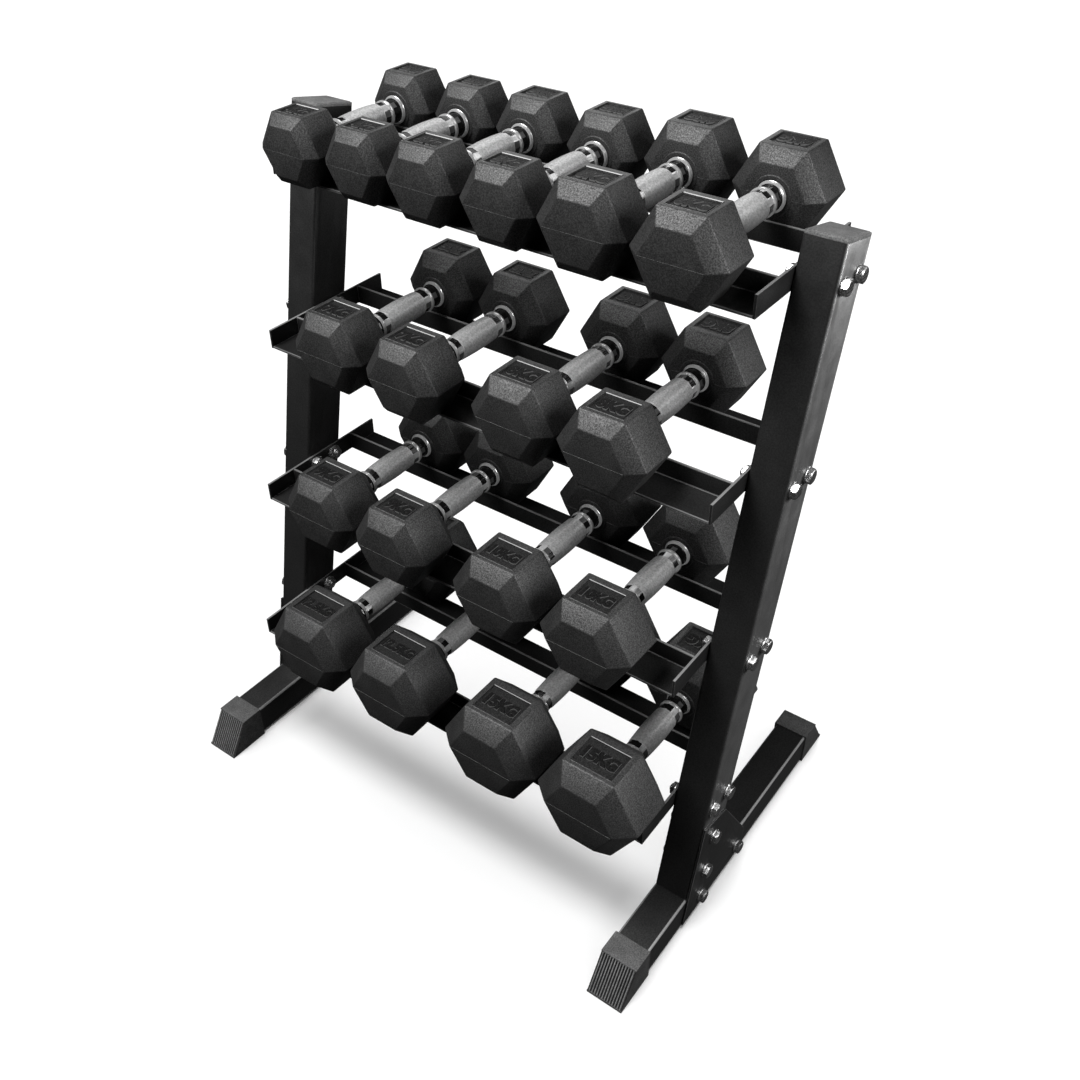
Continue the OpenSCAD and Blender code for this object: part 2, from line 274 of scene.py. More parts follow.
def circle(bm, axis, place, radius_of, sides):
    """A ring of vertices about X or Y at a place along it; radius_of gives each one's radius."""
    ring = []
    for j in range(sides):
        a, r = 2 * math.pi * j / sides, radius_of(j)
        u, v = r * math.cos(a), r * math.sin(a)
        ring.append(bm.verts.new((place, u, v) if axis == "X" else (u, place, v)))
    return ring


def lathe(bm, stations, sides, radius_at=None, close=True):
    """Turns (place, radius) stations about X; radius_at may change each vertex's radius."""
    rings = []
    for i, (x, r) in enumerate(stations):
        rings.append(circle(bm, "X", x, lambda j: radius_at(i, j, r) if radius_at else r, sides))
    for a, b in zip(rings, rings[1:]):
        bridge(bm, a, b)
    if close:
        bm.faces.new(rings[0][::-1])
        bm.faces.new(rings[-1])
    return rings


def cad_copy(node):
    """The CAD node's mesh as a fresh bmesh, with flat faces made whole again."""
    bm = bmesh.new()
    bm.from_mesh(NODES[node].data)
    bmesh.ops.remove_doubles(bm, verts=bm.verts, dist=WELD)
    bmesh.ops.dissolve_limit(bm, angle_limit=math.radians(1.2), verts=bm.verts, edges=bm.edges)
    return bm


def loose_boxes(node):
    """The low and high corners of each loose part of a CAD node."""
    bm = bmesh.new()
    bm.from_mesh(NODES[node].data)
    bmesh.ops.remove_doubles(bm, verts=bm.verts, dist=WELD)
    left = set(bm.verts)
    found = []
    while left:
        seed = left.pop()
        part, stack = [seed], [seed]
        while stack:
            for edge in stack.pop().link_edges:
                for vert in edge.verts:
                    if vert in left:
                        left.remove(vert)
                        part.append(vert)
                        stack.append(vert)
        low = Vector([min(v.co[i] for v in part) for i in range(3)])
        high = Vector([max(v.co[i] for v in part) for i in range(3)])
        found.append((low, high))
    bm.free()
    return sorted(found, key=lambda corners: tuple(round(x, 5) for x in corners[0]))


# ---------------------------------------------------------------- frame of the rack

TUBE_EDGE, PLATE_EDGE, BAR_EDGE, CAP_EDGE = 0.8 * MM, 0.7 * MM, 1.1 * MM, 0.6 * MM
SHELF_TO_WALL = 20 * MM


def gets_painted_highlight(face, node, low):
    """Whether this face takes the painted highlight: leg corners, and the tops of rails and brackets."""
    if node.endswith("_leg"):
        return face.normal.z > 0.3 and abs(face.normal.x) > 0.3
    if node.endswith("_rail"):
        return face.normal.z > 0.9 and face.calc_center_median().z > low + SHELF_TO_WALL
    return node.endswith("_brackets") and face.normal.z > 0.9


def steel(node, width, edge_highlight=True):
    """A coated steel node with its edges eased, and a lighter coat painted along them as a highlight."""
    bm = cad_copy(node)
    # eased edges take the painted highlight, except on the uprights
    bevel_sharp(bm, width, material=1 if edge_highlight else 0)
    low = min(v.co.z for v in bm.verts)
    for face in bm.faces:
        if gets_painted_highlight(face, node, low):
            face.material_index = 1
    name = node + "_coated"
    piece(name, mesh_from(bm, name), "rack", [POWDER, POWDER_EDGE_HIGHLIGHT], node)


for side in ("left", "right"):
    steel(side + "_leg", TUBE_EDGE)
    steel(side + "_upright", TUBE_EDGE, edge_highlight=False)
    steel(side + "_gusset", PLATE_EDGE)
    steel(side + "_brackets", BAR_EDGE)
for tier in (1, 2, 3, 4):
    steel("tier_%d_front_rail" % tier, BAR_EDGE)
    steel("tier_%d_rear_rail" % tier, BAR_EDGE)

bm = cad_copy("upright_top_caps")
bevel_sharp(bm, CAP_EDGE, angle=40)
piece("upright_top_caps_moulded", mesh_from(bm, "upright_top_caps_moulded"), "rack",
      [CAP], "upright_top_caps")


# ---------------------------------------------------------------- foot caps with ribbed toes

FOOT_TOP, FOOT_RECESS_SHADE, FOOT_RIB_CROWN_HIGHLIGHT, FOOT_WALLS_SHADE = range(4)
FOOT_EDGE = 0.7 * MM
TOE_SLANT = 32 * MM
TOE_RIM = 3 * MM
TOE_RECESS = 1.9 * MM
TOE_RIBS = 13
RIB_STEPS = 6
SOCKET_WALL, SOCKET_DEPTH = 2.1 * MM, 6 * MM


def toe_ribs(bm, width, lower, upper, out):
    """Half-round ribs down the recess of the slanted toe."""
    edge = 1.3 * MM
    pitch = (width - 2 * edge) / TOE_RIBS
    radius = pitch * 0.31
    for k in range(TOE_RIBS):
        x = -width / 2 + edge + pitch * (k + 0.5)
        ends = []
        for end in (lower, upper):
            ring = []
            for s in range(RIB_STEPS + 1):
                a = math.pi * s / RIB_STEPS
                rise = TOE_RECESS * math.sin(a) - TOE_RECESS
                ring.append(bm.verts.new(end + out * rise + Vector((x + radius * math.cos(a), 0, 0))))
            ends.append(ring)
        # the crowns of the ribs take the painted highlight
        for s in range(RIB_STEPS):
            face = bm.faces.new((ends[0][s], ends[0][s + 1], ends[1][s + 1], ends[1][s]))
            face.material_index = FOOT_RIB_CROWN_HIGHLIGHT if s in (2, 3) else FOOT_TOP
        bm.faces.new(ends[0][::-1])
        bm.faces.new(ends[1])
        bm.faces.new((ends[0][0], ends[1][0], ends[1][-1], ends[0][-1]))


def foot_mesh():
    """The rear right foot cap, about the middle of its own leg: y runs out to the toe."""
    low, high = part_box("rear_right_foot")
    width, height = high.x - low.x, high.z
    inner, toe = low.y, high.y
    top_end = toe - TOE_SLANT
    slant = Vector((0, top_end - toe, height - TOE_RIM)).normalized()
    out = Vector((0, slant.z, -slant.y))
    toe_low, toe_top = Vector((0, toe, TOE_RIM)), Vector((0, top_end, height))
    lower = toe_low + slant * 1.2 * MM
    upper = toe_top - slant * 2.2 * MM
    profile = [Vector((0, inner, 0)), Vector((0, toe, 0)), toe_low, lower, lower - out * TOE_RECESS,
               upper - out * TOE_RECESS, upper, toe_top, Vector((0, inner, height))]
    bm = bmesh.new()
    rows = [[bm.verts.new((x, p.y, p.z)) for p in profile] for x in (-width / 2, width / 2)]
    # the recess of the toe takes the painted shade
    for i in range(len(profile) - 1):
        face = bm.faces.new((rows[0][i], rows[0][i + 1], rows[1][i + 1], rows[1][i]))
        face.material_index = FOOT_RECESS_SHADE if i in (3, 4, 5) else FOOT_TOP
    # the side walls take the painted shade
    bm.faces.new(rows[0][::-1]).material_index = FOOT_WALLS_SHADE
    bm.faces.new(rows[1]).material_index = FOOT_WALLS_SHADE
    bmesh.ops.recalc_face_normals(bm, faces=bm.faces)
    # the end that takes the leg: a shallow socket with a wall all round it
    back = [rows[0][-1], rows[0][0], rows[1][0], rows[1][-1]]
    wide, bottom, top = width / 2 - SOCKET_WALL, SOCKET_WALL, height - SOCKET_WALL
    corners = ((-wide, top), (-wide, bottom), (wide, bottom), (wide, top))
    mouth = [bm.verts.new((x, inner, z)) for x, z in corners]
    deep = [bm.verts.new((x, inner + SOCKET_DEPTH, z)) for x, z in corners]
    bridge(bm, back, mouth)
    bridge(bm, mouth, deep)
    bm.faces.new(deep[::-1])
    bmesh.ops.recalc_face_normals(bm, faces=bm.faces)
    bevel_sharp(bm, FOOT_EDGE, angle=25)
    toe_ribs(bm, width, lower - slant * 0.2 * MM, upper + slant * 0.2 * MM, out)
    bmesh.ops.recalc_face_normals(bm, faces=bm.faces)
    return bm


FOOT_BM = foot_mesh()
for node in ("front_left_foot", "front_right_foot", "rear_left_foot", "rear_right_foot"):
    low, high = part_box(node)
    bm = FOOT_BM.copy()
    if "front" in node:
        bmesh.ops.rotate(bm, verts=bm.verts, matrix=Matrix.Rotation(math.pi, 3, "Z"))
    bmesh.ops.translate(bm, verts=bm.verts, vec=((low.x + high.x) / 2, 0, 0))
    piece(node + "_cap", mesh_from(bm, node + "_cap", 50), "rack",
          [FOOT, FOOT_PAINTED_SHADE, FOOT_RIB_HIGHLIGHT, FOOT_SIDE_SHADE], node)


# ---------------------------------------------------------------- bolts, washers and nuts

BOLT_FLATS, NUT_FLATS = 17 * MM, 16.8 * MM
BOLT_R, BOLT_HEAD = 5 * MM, 6.4 * MM
THREAD_PITCH, THREAD_START, THREAD_TURNS = 1.5 * MM, 1.2 * MM, 7
WASHER_R, WASHER_HOLE = 10 * MM, 5.2 * MM
FLANGE_R, FLANGE_T, NUT_BORE = 11 * MM, 2 * MM, 5.05 * MM
ROUND_SIDES = 48


def hex_solid(bm, x0, x1, flats, cone_low, cone_high, bore=0.0):
    """A hexagon along X whose corners are turned off by cones, as on a real bolt head or nut."""
    corner, face = flats / math.sqrt(3), flats / 2 * 0.93
    depth = (corner - flats / 2) * math.tan(math.radians(30)) + 0.4 * MM
    cone = [(0.0, face), (depth / 2, (corner + face) / 2), (depth, corner)]
    low = [(x0 + d, limit) for d, limit in cone] if cone_low else [(x0, corner)]
    high = [(x1 - d, limit) for d, limit in cone[::-1]] if cone_high else [(x1, corner)]

    def radius_at(i, j, limit):
        a = (2 * math.pi * j / ROUND_SIDES + math.pi / 6) % (math.pi / 3) - math.pi / 6
        return min(flats / 2 / math.cos(a), limit)

    rings = lathe(bm, low + high, ROUND_SIDES, radius_at, close=not bore)
    if bore:
        hole = [circle(bm, "X", x, lambda j: bore, ROUND_SIDES) for x in (x0, x1)]
        bridge(bm, rings[0], hole[0])
        bridge(bm, rings[-1], hole[1])
        bridge(bm, hole[0], hole[1])


def bolt_bm(end_x, head_x):
    """One bolt of the right side, from the end of its thread out to the top of its head."""
    bm = bmesh.new()
    under = head_x - BOLT_HEAD
    hex_solid(bm, under, head_x - 0.3 * MM, BOLT_FLATS, False, True)
    stations = [(end_x, BOLT_R * 0.62), (end_x + 0.7 * MM, BOLT_R * 0.86)]
    for turn in range(THREAD_TURNS):
        x = end_x + THREAD_START + turn * THREAD_PITCH
        stations += [(x, BOLT_R), (x + THREAD_PITCH / 2, BOLT_R * 0.87)]
    stations += [(x + THREAD_PITCH, BOLT_R), (under, BOLT_R)]
    lathe(bm, stations, 24)
    return bm


def washer_bm(low_x, high_x, radius=WASHER_R, hole=WASHER_HOLE):
    """A flat ring with its outer edges turned off."""
    bm = bmesh.new()
    c = 0.3 * MM
    stations = [(low_x, hole), (low_x, radius - c), (low_x + c, radius), (high_x - c, radius),
                (high_x, radius - c), (high_x, hole), (low_x, hole)]
    lathe(bm, stations, ROUND_SIDES, close=False)
    return bm


def nut_bm(low_x, high_x):
    """A flange nut: its flange lies against the plate at high_x."""
    bm = bmesh.new()
    flange_high = high_x - 0.1 * MM
    hex_solid(bm, low_x, high_x - 1.2 * MM, NUT_FLATS, True, False, NUT_BORE)
    join(bm, washer_bm(flange_high - FLANGE_T, flange_high, FLANGE_R, NUT_BORE))
    return bm


def fastener_node(node, make, name):
    """Each fastener of a CAD node, made for the right side and mirrored for the left."""
    out = bmesh.new()
    for index, (low, high) in enumerate(loose_boxes(node)):
        right = low.x > 0
        near, far = (low.x, high.x) if right else (-high.x, -low.x)
        bm = make(near, far)
        turn = math.radians(11 + 37 * index % 60)
        bmesh.ops.rotate(bm, verts=bm.verts, matrix=Matrix.Rotation(turn, 3, "X"))
        if not right:
            bmesh.ops.scale(bm, verts=bm.verts, vec=(-1, 1, 1))
            bmesh.ops.reverse_faces(bm, faces=bm.faces)
        y, z = (low.y + high.y) / 2, (low.z + high.z) / 2
        bmesh.ops.translate(bm, verts=bm.verts, vec=(0, y, z))
        join(out, bm)
    bmesh.ops.recalc_face_normals(out, faces=out.faces)
    piece(name, mesh_from(out, name, 25), "rack", [ZINC], node)


fastener_node("hex_bolts", bolt_bm, "hex_bolts_plated")
fastener_node("washers", washer_bm, "washers_plated")
fastener_node("flange_nuts", nut_bm, "flange_nuts_plated")


# ---------------------------------------------------------------- heads of the dumbbells

PLAIN, PAINTED_CATCHLIGHT, PANEL, FIGURE_SIDE_HIGHLIGHT, FIGURE_TOP_SHADE = range(5)
HEAD_MATERIALS = [RUBBER, RUBBER_CATCHLIGHT, RUBBER_PANEL, RUBBER_LETTER_HIGHLIGHT, RUBBER_FIGURE_SHADE]
HEX_CORNER = 2 / math.sqrt(3)
# how far the end faces fall away from the moulding line, at their top and bottom edges
END_DRAFT = 0.9 * MM
# from the rim of the label panel to its floor: inwards and up, in millimetres
PANEL_STEPS = [(0.0, 0.0), (0.5, 0.4), (1.1, 0.4), (1.4, -0.5), (2.1, -1.8)]
# the moulding line's section: out from the end face and up, in millimetres
FLASH = [(-0.4, 0.4), (0.22, 0.0), (-0.4, -0.4)]
# the lip round the handle: out from the end face and its radius, in millimetres
LIP = [(-0.6, 23.2), (0.3, 22.9), (0.8, 22.2), (0.8, 18.8), (-0.6, 18.6)]
# by the characters in a mark: its height as a share of the straight length, its width in half panels
MARK_HEIGHT = {3: 0.40, 4: 0.33, 6: 0.29}
MARK_WIDTH = {3: 1.6, 4: 1.6, 6: 1.72}
FIGURE_RISE, FIGURE_SINK = 1.7 * MM, 1.9 * MM


def sizes(node):
    """Across flats, bevel inset, bevel length, straight length and the room between the heads."""
    low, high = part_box(node)
    f = high.z - low.z
    inset, bevel, straight = 0.21 * f - 5.4 * MM, 0.18 * f - 2 * MM, 0.41 * f + 9 * MM
    return f, inset, bevel, straight, (high.y - low.y) - 2 * (straight + 2 * bevel)


def panel_half(f):
    """Half the width of a label panel."""
    return f / math.sqrt(3) * 0.41


def panel_shift(straight):
    """How far the middle of a label panel lies from the middle of its head."""
    return -straight * 0.035


def text_mesh(words, height, depth):
    """Raised figures in plain capitals, centred, lying in XY and standing depth high."""
    curve = bpy.data.curves.new("mark_" + words, "FONT")
    curve.body = words
    curve.size = 1.0
    curve.align_x = "CENTER"
    curve.align_y = "CENTER"
    curve.offset = 0.03
    curve.space_character = 1.08
    curve.extrude = 0.5
    curve.bevel_depth = 0.045
    curve.bevel_resolution = 1
    curve.resolution_u = 4
    holder = bpy.data.objects.new("mark_holder", curve)
    bpy.context.scene.collection.objects.link(holder)
    bpy.context.view_layer.update()
    solved = holder.evaluated_get(bpy.context.evaluated_depsgraph_get())
    mesh = bpy.data.meshes.new_from_object(solved)
    bpy.data.objects.remove(holder)
    bpy.data.curves.remove(curve)
    low = Vector([min(v.co[i] for v in mesh.vertices) for i in range(3)])
    high = Vector([max(v.co[i] for v in mesh.vertices) for i in range(3)])
    middle, span = (low + high) / 2, high - low
    scale = height / span.y
    for v in mesh.vertices:
        x, y = (v.co.x - middle.x) * scale, (v.co.y - middle.y) * scale
        v.co = Vector((x, y, (v.co.z - low.z) / span.z * depth))
    return mesh, span.x * scale


def sink_panel(bm, corners, half_w, half_d, shift, top):
    """A rimmed label panel, sunk into the open quad between four corners of the top flat."""
    front, back = shift - half_d, shift + half_d
    rim = [(-half_w, front), (half_w, front), (half_w, back), (-half_w, back)]
    previous = corners
    for step, (inwards, up) in enumerate(PANEL_STEPS):
        ring = []
        for x, y in rim:
            ring.append(bm.verts.new((x - math.copysign(inwards * MM, x),
                                      y - math.copysign(inwards * MM, y - shift), top + up * MM)))
        for i in range(4):
            k = (i + 1) % 4
            face = bm.faces.new((previous[i], previous[k], ring[k], ring[i]))
            # the rear wall of the panel's rim is painted light, as a highlight
            if step == 3 and i == 2:
                face.material_index = PAINTED_CATCHLIGHT
            elif step > 2:
                face.material_index = PANEL
        previous = ring
    bm.faces.new(previous).material_index = PANEL


def head_body(f, inset, bevel, straight):
    """The hexagon with its bevelled ends, and the label panel in its top flat."""
    bm = bmesh.new()
    half = straight / 2 + bevel
    small, full = f / 2 - inset, f / 2
    rings = []
    for y, flats, end in ((-half, small, -1), (-half + bevel, full, 0),
                          (half - bevel, full, 0), (half, small, 1)):
        ring = []
        for j in range(6):
            a = math.pi / 3 * j
            x, z = flats * HEX_CORNER * math.cos(a), flats * HEX_CORNER * math.sin(a)
            ring.append(bm.verts.new((x, y - end * END_DRAFT * abs(z) / flats, z)))
        rings.append(ring)
    for a, b in zip(rings, rings[1:]):
        for j in range(6):
            k = (j + 1) % 6
            if a is rings[1] and j == 1:
                continue
            bm.faces.new((a[j], a[k], b[k], b[j]))
    seams = []
    for ring, step in ((rings[0], 1), (rings[-1], -1)):
        bm.faces.new(ring[:4][::step])
        bm.faces.new((ring[3:] + ring[:1])[::step])
        seams.append(bm.edges.get((ring[0], ring[3])))
    rounded = [edge for edge in bm.edges if edge not in seams]
    corners = [rings[1][2], rings[1][1], rings[2][1], rings[2][2]]
    sink_panel(bm, corners, panel_half(f), straight * 0.38, panel_shift(straight), full)
    bmesh.ops.recalc_face_normals(bm, faces=bm.faces)
    bmesh.ops.bevel(bm, geom=rounded, offset=f * 0.011, offset_type="OFFSET", segments=3, profile=0.5,
                    affect="EDGES", clamp_overlap=True)
    return bm


def head_bm(words, f, inset, bevel, straight):
    """One rubber head, centred, outer end towards -Y, with its mark in a sunk panel on top."""
    bm = head_body(f, inset, bevel, straight)
    half = straight / 2 + bevel
    reach = (f / 2 - inset) * HEX_CORNER - f * 0.012
    for end in (-1, 1):
        left, right = [[bm.verts.new((x, end * (half + out * MM), up * MM)) for out, up in FLASH]
                       for x in (-reach, reach)]
        bridge(bm, left, right)
        bm.faces.new(left[::-1])
        bm.faces.new(right)
    lip = [circle(bm, "Y", half + out * MM, lambda j: radius * MM, 40) for out, radius in LIP]
    for a, b in zip(lip, lip[1:] + lip[:1]):
        bridge(bm, a, b)
    bmesh.ops.recalc_face_normals(bm, faces=bm.faces)
    mark, width = text_mesh(words, straight * MARK_HEIGHT[len(words)], FIGURE_RISE)
    squeeze = panel_half(f) * MARK_WIDTH[len(words)] / width
    y = panel_shift(straight) - straight * 0.01
    for v in mark.vertices:
        v.co = Vector((v.co.x * squeeze, v.co.y + y, v.co.z + f / 2 - FIGURE_SINK))
    # the sides of the figures take the painted highlight, their tops the painted shade
    for polygon in mark.polygons:
        polygon.material_index = FIGURE_TOP_SHADE if polygon.normal.z > 0.95 else FIGURE_SIDE_HIGHLIGHT
    bm.from_mesh(mark)
    bpy.data.meshes.remove(mark)
    return bm


def head_pair(node, words, name):
    """Both heads of a dumbbell, centred; the rear one is the front one turned round."""
    f, inset, bevel, straight, grip = sizes(node)
    out = (grip + straight + 2 * bevel) / 2
    pair = bmesh.new()
    for turn in (0, math.pi):
        bm = head_bm(words, f, inset, bevel, straight)
        bmesh.ops.translate(bm, verts=bm.verts, vec=(0, -out, 0))
        bmesh.ops.rotate(bm, verts=bm.verts, matrix=Matrix.Rotation(turn, 3, "Z"))
        join(pair, bm)
    return mesh_from(pair, name, 32)


# ---------------------------------------------------------------- handles of the dumbbells

RING, GRIP, NECK_PAINTED_DARK, DARK_REFLECTION, GREY_REFLECTION, BRIGHT_REFLECTION = range(6)
HANDLE_MATERIALS = [CHROME, KNURL, CHROME_NECK_DARKENED, BAND_PAINTED_DARK, BAND_PAINTED_GREY, BAND_PAINTED_BRIGHT]
# the painted reflection on each flat round a band
BAND_FLAT_REFLECTIONS = (DARK_REFLECTION, BRIGHT_REFLECTION, GREY_REFLECTION, DARK_REFLECTION, BRIGHT_REFLECTION, DARK_REFLECTION, GREY_REFLECTION, BRIGHT_REFLECTION, DARK_REFLECTION, BRIGHT_REFLECTION, GREY_REFLECTION, DARK_REFLECTION)
# where the neck with its painted dark reflection, its flats and the flats of the main band lie, in
# millimetres from the head
NECK_PART, NECK_FLATS, MAIN_FLATS = (4.8, 18.4), (8.8, 17.6), (23.7, 33.2)
# outline of a handle's end: millimetres from the head, and radius
HANDLE_END = [
    # stub inside the head
    (-4.0, 12.0), (0.0, 12.0),
    # two collar rings
    (0.0, 17.1), (0.4, 17.6), (1.0, 17.8), (1.8, 17.8), (2.2, 17.4), (2.4, 16.4),
    (2.8, 16.3), (3.1, 17.0), (3.8, 17.0), (4.2, 16.4),
    # neck
    (4.6, 15.2), (5.4, 14.1), (6.6, 13.8), (8.5, 13.8), (8.8, 14.1), (17.6, 14.3), (18.2, 14.9),
    # ring between neck and band
    (18.6, 15.8), (19.0, 16.5), (19.6, 16.8), (21.0, 16.9), (22.6, 16.8), (23.1, 16.4), (23.4, 15.6),
    # band
    (23.7, 15.4), (33.2, 15.4), (33.6, 15.1), (34.0, 15.1),
]
GRIP_START = 34.4 * MM
GRIP_END_R, GRIP_SWELL, KNURL_DEPTH = 15.7 * MM, 1.1 * MM, 0.26 * MM
HANDLE_SIDES, KNURL_ROWS = 72, 40


def handle_finish_and_reflection(face, half):
    """The material slot of a face of the handle, from its place along and round it; the necks and the
    flats of the bands take painted reflections.
    """
    centre = face.calc_center_median()
    if abs(centre.y) < half - GRIP_START:
        return GRIP
    place = (half - abs(centre.y)) / MM
    rear = centre.y > 0
    flat = int(math.atan2(centre.x, centre.z) / (2 * math.pi) % 1.0 * len(BAND_FLAT_REFLECTIONS))
    # each flat of a band takes its painted reflection
    if MAIN_FLATS[0] < place < MAIN_FLATS[1]:
        return BAND_FLAT_REFLECTIONS[flat]
    if NECK_FLATS[0] < place < NECK_FLATS[1]:
        # on the rear end, the bright flats of the neck take the painted dark reflection instead
        painted_reflection = BAND_FLAT_REFLECTIONS[(flat + (5 if rear else 0)) % len(BAND_FLAT_REFLECTIONS)]
        return NECK_PAINTED_DARK if rear and painted_reflection == BRIGHT_REFLECTION else painted_reflection
    # the neck itself takes the painted dark reflection; the rest is plain chrome
    return NECK_PAINTED_DARK if NECK_PART[0] < place < NECK_PART[1] else RING


def bar_mesh(grip, name):
    """The chromed handle: collar rings, necks with a painted dark reflection, rings, bands whose flats
    carry painted reflections, and a knurled grip.
    """
    half = grip / 2
    grip_half = half - GRIP_START
    end = [(place * MM - half, radius * MM) for place, radius in HANDLE_END]
    middle = []
    for i in range(KNURL_ROWS + 1):
        y = -grip_half + 2 * grip_half * i / KNURL_ROWS
        middle.append((y, GRIP_END_R + GRIP_SWELL * math.cos(math.pi / 2 * y / grip_half)))
    stations = end + middle + [(-y, r) for y, r in end[::-1]]
    first, last = len(end), len(stations) - 1
    with_flats = {i for i, (place, r) in enumerate(HANDLE_END) if place in NECK_FLATS + MAIN_FLATS}
    half_flat = math.pi / len(BAND_FLAT_REFLECTIONS)
    sides_per_flat = HANDLE_SIDES // len(BAND_FLAT_REFLECTIONS)

    def radius_at(i, j, r):
        if first < i < first + KNURL_ROWS:
            return r + (KNURL_DEPTH if (i + j) % 2 else -KNURL_DEPTH)
        if min(i, last - i) in with_flats:
            a = 2 * math.pi * (j % sides_per_flat) / HANDLE_SIDES - half_flat
            return r * math.cos(half_flat) / math.cos(a)
        return r

    bm = bmesh.new()
    lathe(bm, stations, HANDLE_SIDES, radius_at)
    bmesh.ops.rotate(bm, verts=bm.verts, matrix=Matrix.Rotation(math.pi / 2, 3, "Z"))
    bmesh.ops.recalc_face_normals(bm, faces=bm.faces)
    for face in bm.faces:
        face.material_index = handle_finish_and_reflection(face, half)
    return mesh_from(bm, name, 25)


HEAD_MESHES = {}
BAR_MESHES = {}
for body in sorted(b for b in frame["bodies"] if b.startswith("dumbbell")):
    heads, bar = body + "_heads", body + "_bar"
    mark = body[len("dumbbell_"):-2]
    low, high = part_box(heads)
    centre = (low + high) / 2
    if mark not in HEAD_MESHES:
        HEAD_MESHES[mark] = head_pair(heads, mark.replace("_", ".").upper(), "heads_" + mark)
    grip = round(sizes(heads)[4], 4)
    if grip not in BAR_MESHES:
        BAR_MESHES[grip] = bar_mesh(grip, "bar_%d" % round(grip * 1000))
    # the handles are turned by different amounts, worked out from their names
    spin = math.radians(sum(map(ord, body)) * 7 % 360)
    piece(body + "_rubber_heads", HEAD_MESHES[mark], body, HEAD_MATERIALS, heads, centre)
    piece(body + "_chrome_handle", BAR_MESHES[grip], body, HANDLE_MATERIALS, bar,
          centre, spin)


# ---------------------------------------------------------------- floor, light and camera

FLOOR_HALF, FLOOR_SINK = 14, 0.3 * MM

floor_bm = bmesh.new()
bmesh.ops.create_grid(floor_bm, x_segments=4, y_segments=4, size=FLOOR_HALF)
floor_mesh = bpy.data.meshes.new("floor")
floor_bm.to_mesh(floor_mesh)
floor_bm.free()
floor = bpy.data.objects.new("floor", floor_mesh)
bpy.context.scene.collection.objects.link(floor)
floor_material = Nodes("floor_white").set(Roughness=1.0, Specular_IOR_Level=0.0)
floor_material.link(floor_material.ramp(floor_material.noise(2), [(0.3, 0.93), (0.7, 0.95)]), "Base Color")
floor_mesh.materials.append(floor_material.mat)
floor.location.z = -FLOOR_SINK
floor.visible_glossy = False
floor.visible_diffuse = False

# white behind everything that the camera sees, and a dim room for what the object reflects
world = bpy.data.worlds.new("studio")
bpy.context.scene.world = world
world.use_nodes = True
sky = world.node_tree
background = sky.nodes["Background"]
seen = sky.nodes.new("ShaderNodeLightPath")
shade = sky.nodes.new("ShaderNodeMapRange")
shade.inputs["To Min"].default_value = 0.03
shade.inputs["To Max"].default_value = 1.0
sky.links.new(seen.outputs["Is Camera Ray"], shade.inputs["Value"])
sky.links.new(shade.outputs["Result"], background.inputs["Strength"])
background.inputs["Color"].default_value = (1, 1, 1, 1)

MIDDLE, LAMP_DISTANCE = Vector((0, 0, 0.45)), 3.4


def lit(name, objects, state="INCLUDE"):
    """A collection of the objects that a light falls on, or that throw its shadows.

    With EXCLUDE it names those that are left out.
    """
    group = bpy.data.collections.new(name)
    for obj in objects:
        group.objects.link(obj)
    for entry in group.collection_objects:
        entry.light_linking.link_state = state
    return group


def named(*endings):
    """The pieces whose names end in one of these ways."""
    return [obj for obj in bpy.context.scene.objects if obj.name.endswith(endings)]


HANDLES = named("_chrome_handle")
ON_FLOOR = lit("floor_lit", [floor])
OFF_FLOOR = lit("floor_and_handles_left_out", [floor] + HANDLES, "EXCLUDE")
ON_HANDLES = lit("handles_lit", HANDLES)
ON_HEADS = lit("heads_lit", named("_rubber_heads"))
ON_FASTENERS = lit("fasteners_lit", named("_plated"))
FEET = lit("shadow_of_feet", named("_foot_cap", "_leg_coated", "_gusset_coated"))
LOW = lit("shadow_of_low_parts", list(FEET.objects) + [bpy.data.objects["tier_4_front_rail_coated"]])
ON_RIGHT_SIDE = lit("right_side_lit", [bpy.data.objects["right_upright_coated"]])


def lamp(name, kind, azimuth, elevation, energy, receivers, blockers=None, **settings):
    """A light round the rack; azimuth 0 is in front of it and 90 is to its right.

    It falls on the receivers only, and only the blockers, if any are named, throw its shadows.
    """
    light = bpy.data.lights.new(name, kind)
    light.energy = energy
    for key, value in settings.items():
        setattr(light, key, value)
    obj = bpy.data.objects.new(name, light)
    bpy.context.scene.collection.objects.link(obj)
    a, e = math.radians(azimuth), math.radians(elevation)
    direction = Vector((math.sin(a) * math.cos(e), -math.cos(a) * math.cos(e), math.sin(e)))
    obj.location = MIDDLE + LAMP_DISTANCE * direction
    obj.rotation_euler = direction.to_track_quat("Z", "Y").to_euler()
    obj.visible_camera = False
    obj.light_linking.receiver_collection = receivers
    if blockers:
        obj.light_linking.blocker_collection = blockers
    return obj


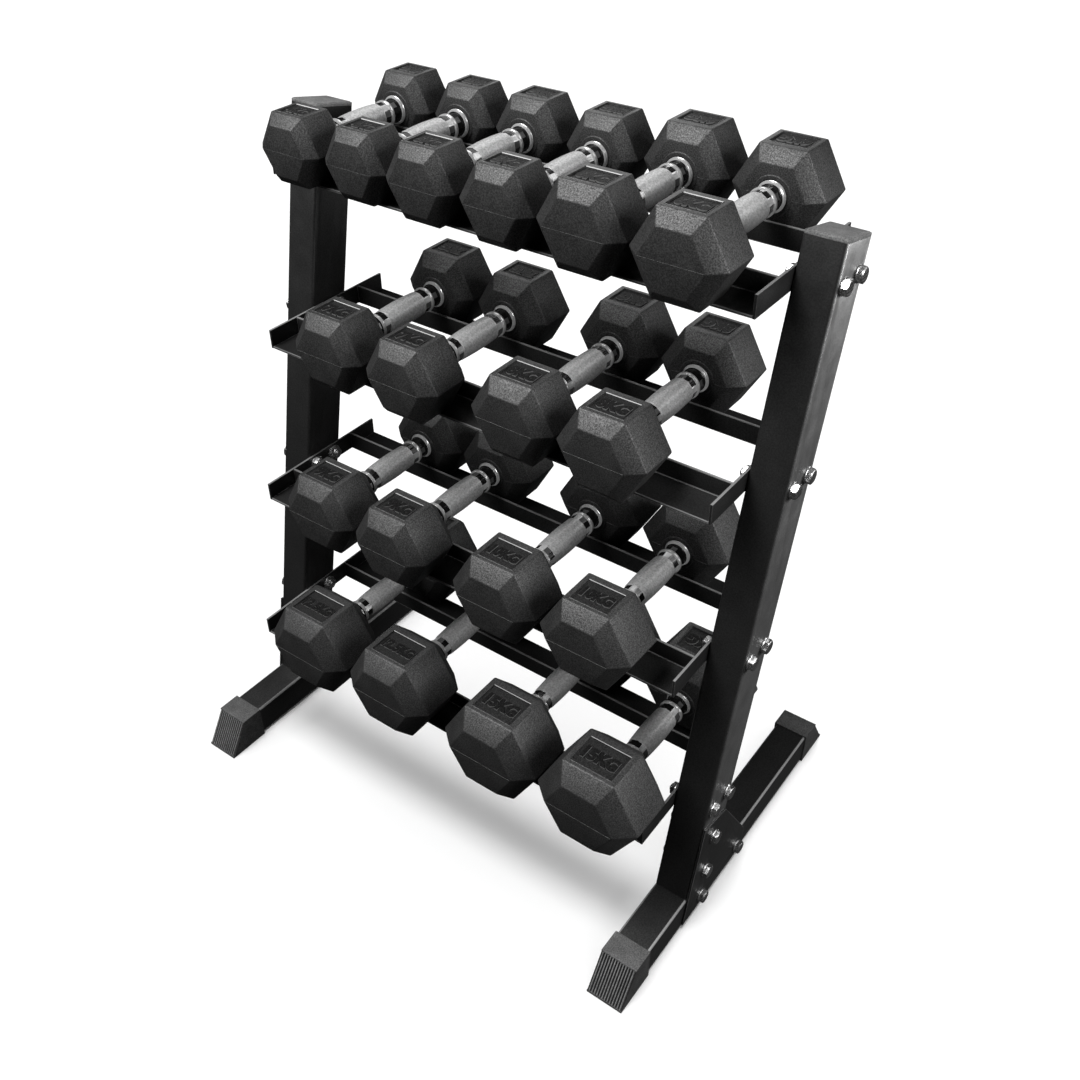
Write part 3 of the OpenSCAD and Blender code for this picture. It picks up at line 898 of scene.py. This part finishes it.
lamp("key", "AREA", -36, 60, 190, OFF_FLOOR, size=1.6)
lamp("front_left", "AREA", -36, 35, 28, OFF_FLOOR, size=1.6)
lamp("right", "AREA", 90, 25, 122, OFF_FLOOR, size=1.6)
lamp("right_rear", "AREA", 125, 10, 19, OFF_FLOOR, size=1.6)
lamp("rear_fill", "AREA", 210, 28, 26, ON_HEADS, size=1.6)
lamp("floor_top", "SUN", 0, 88, 2.2, ON_FLOOR, LOW, angle=math.radians(26))
lamp("floor_wide", "SUN", 0, 89, 1.4, ON_FLOOR, FEET, angle=math.radians(110))
lamp("floor_soft", "SUN", 0, 89, 0.35, ON_FLOOR, angle=math.radians(110))
lamp("fasteners_top", "AREA", 10, 72, 190, ON_FASTENERS, size=3.0)
lamp("fasteners_left", "AREA", -75, 20, 45, ON_FASTENERS, size=0.9)
lamp("fasteners_right", "AREA", 75, 30, 36, ON_FASTENERS, size=0.9)
lamp("handles_key", "AREA", -36, 62, 100, ON_HANDLES, size=1.6)
lamp("handles_front", "AREA", 35, 22, 34, ON_HANDLES, size=1.2)
lamp("handles_left", "AREA", 203, 47, 14, ON_HANDLES, size=1.5)
lamp("handles_back", "AREA", 142, 37, 12, ON_HANDLES, size=1.4)
lamp("handles_right", "AREA", 122, 6, 8, ON_HANDLES, size=1.0)

# a light for the right upright alone, from the right rear, aimed at its upper end
UPRIGHT_TOP = Vector((0.38, 0.05, 0.85))
side = lamp("right_side_top", "AREA", 95, 0, 110, ON_RIGHT_SIDE, size=0.6)
side.location = (1.4, 0.9, 1.0)
side.rotation_euler = (side.location - UPRIGHT_TOP).to_track_quat("Z", "Y").to_euler()

CAMERA_AT = (0.7574, -0.9606, 1.3580)
YAW, PITCH, ROLL = math.radians(36.4), math.radians(38.14), math.radians(-0.39)

camera = bpy.data.cameras.new("camera")
camera.sensor_width = 36
camera.lens = 38.213
camera.clip_start = 0.05
camera.clip_end = 60
view = bpy.data.objects.new("camera", camera)
bpy.context.scene.collection.objects.link(view)
forward = Vector((-math.sin(YAW) * math.cos(PITCH), math.cos(YAW) * math.cos(PITCH), -math.sin(PITCH)))
right = Vector((math.cos(YAW), math.sin(YAW), 0))
up = right.cross(forward)
right, up = (math.cos(ROLL) * right + math.sin(ROLL) * up, -math.sin(ROLL) * right + math.cos(ROLL) * up)
axes = Matrix((right, up, -forward)).transposed()
view.matrix_world = Matrix.Translation(CAMERA_AT) @ axes.to_4x4()
bpy.context.scene.camera = view
bpy.context.scene.view_settings.view_transform = "Standard"
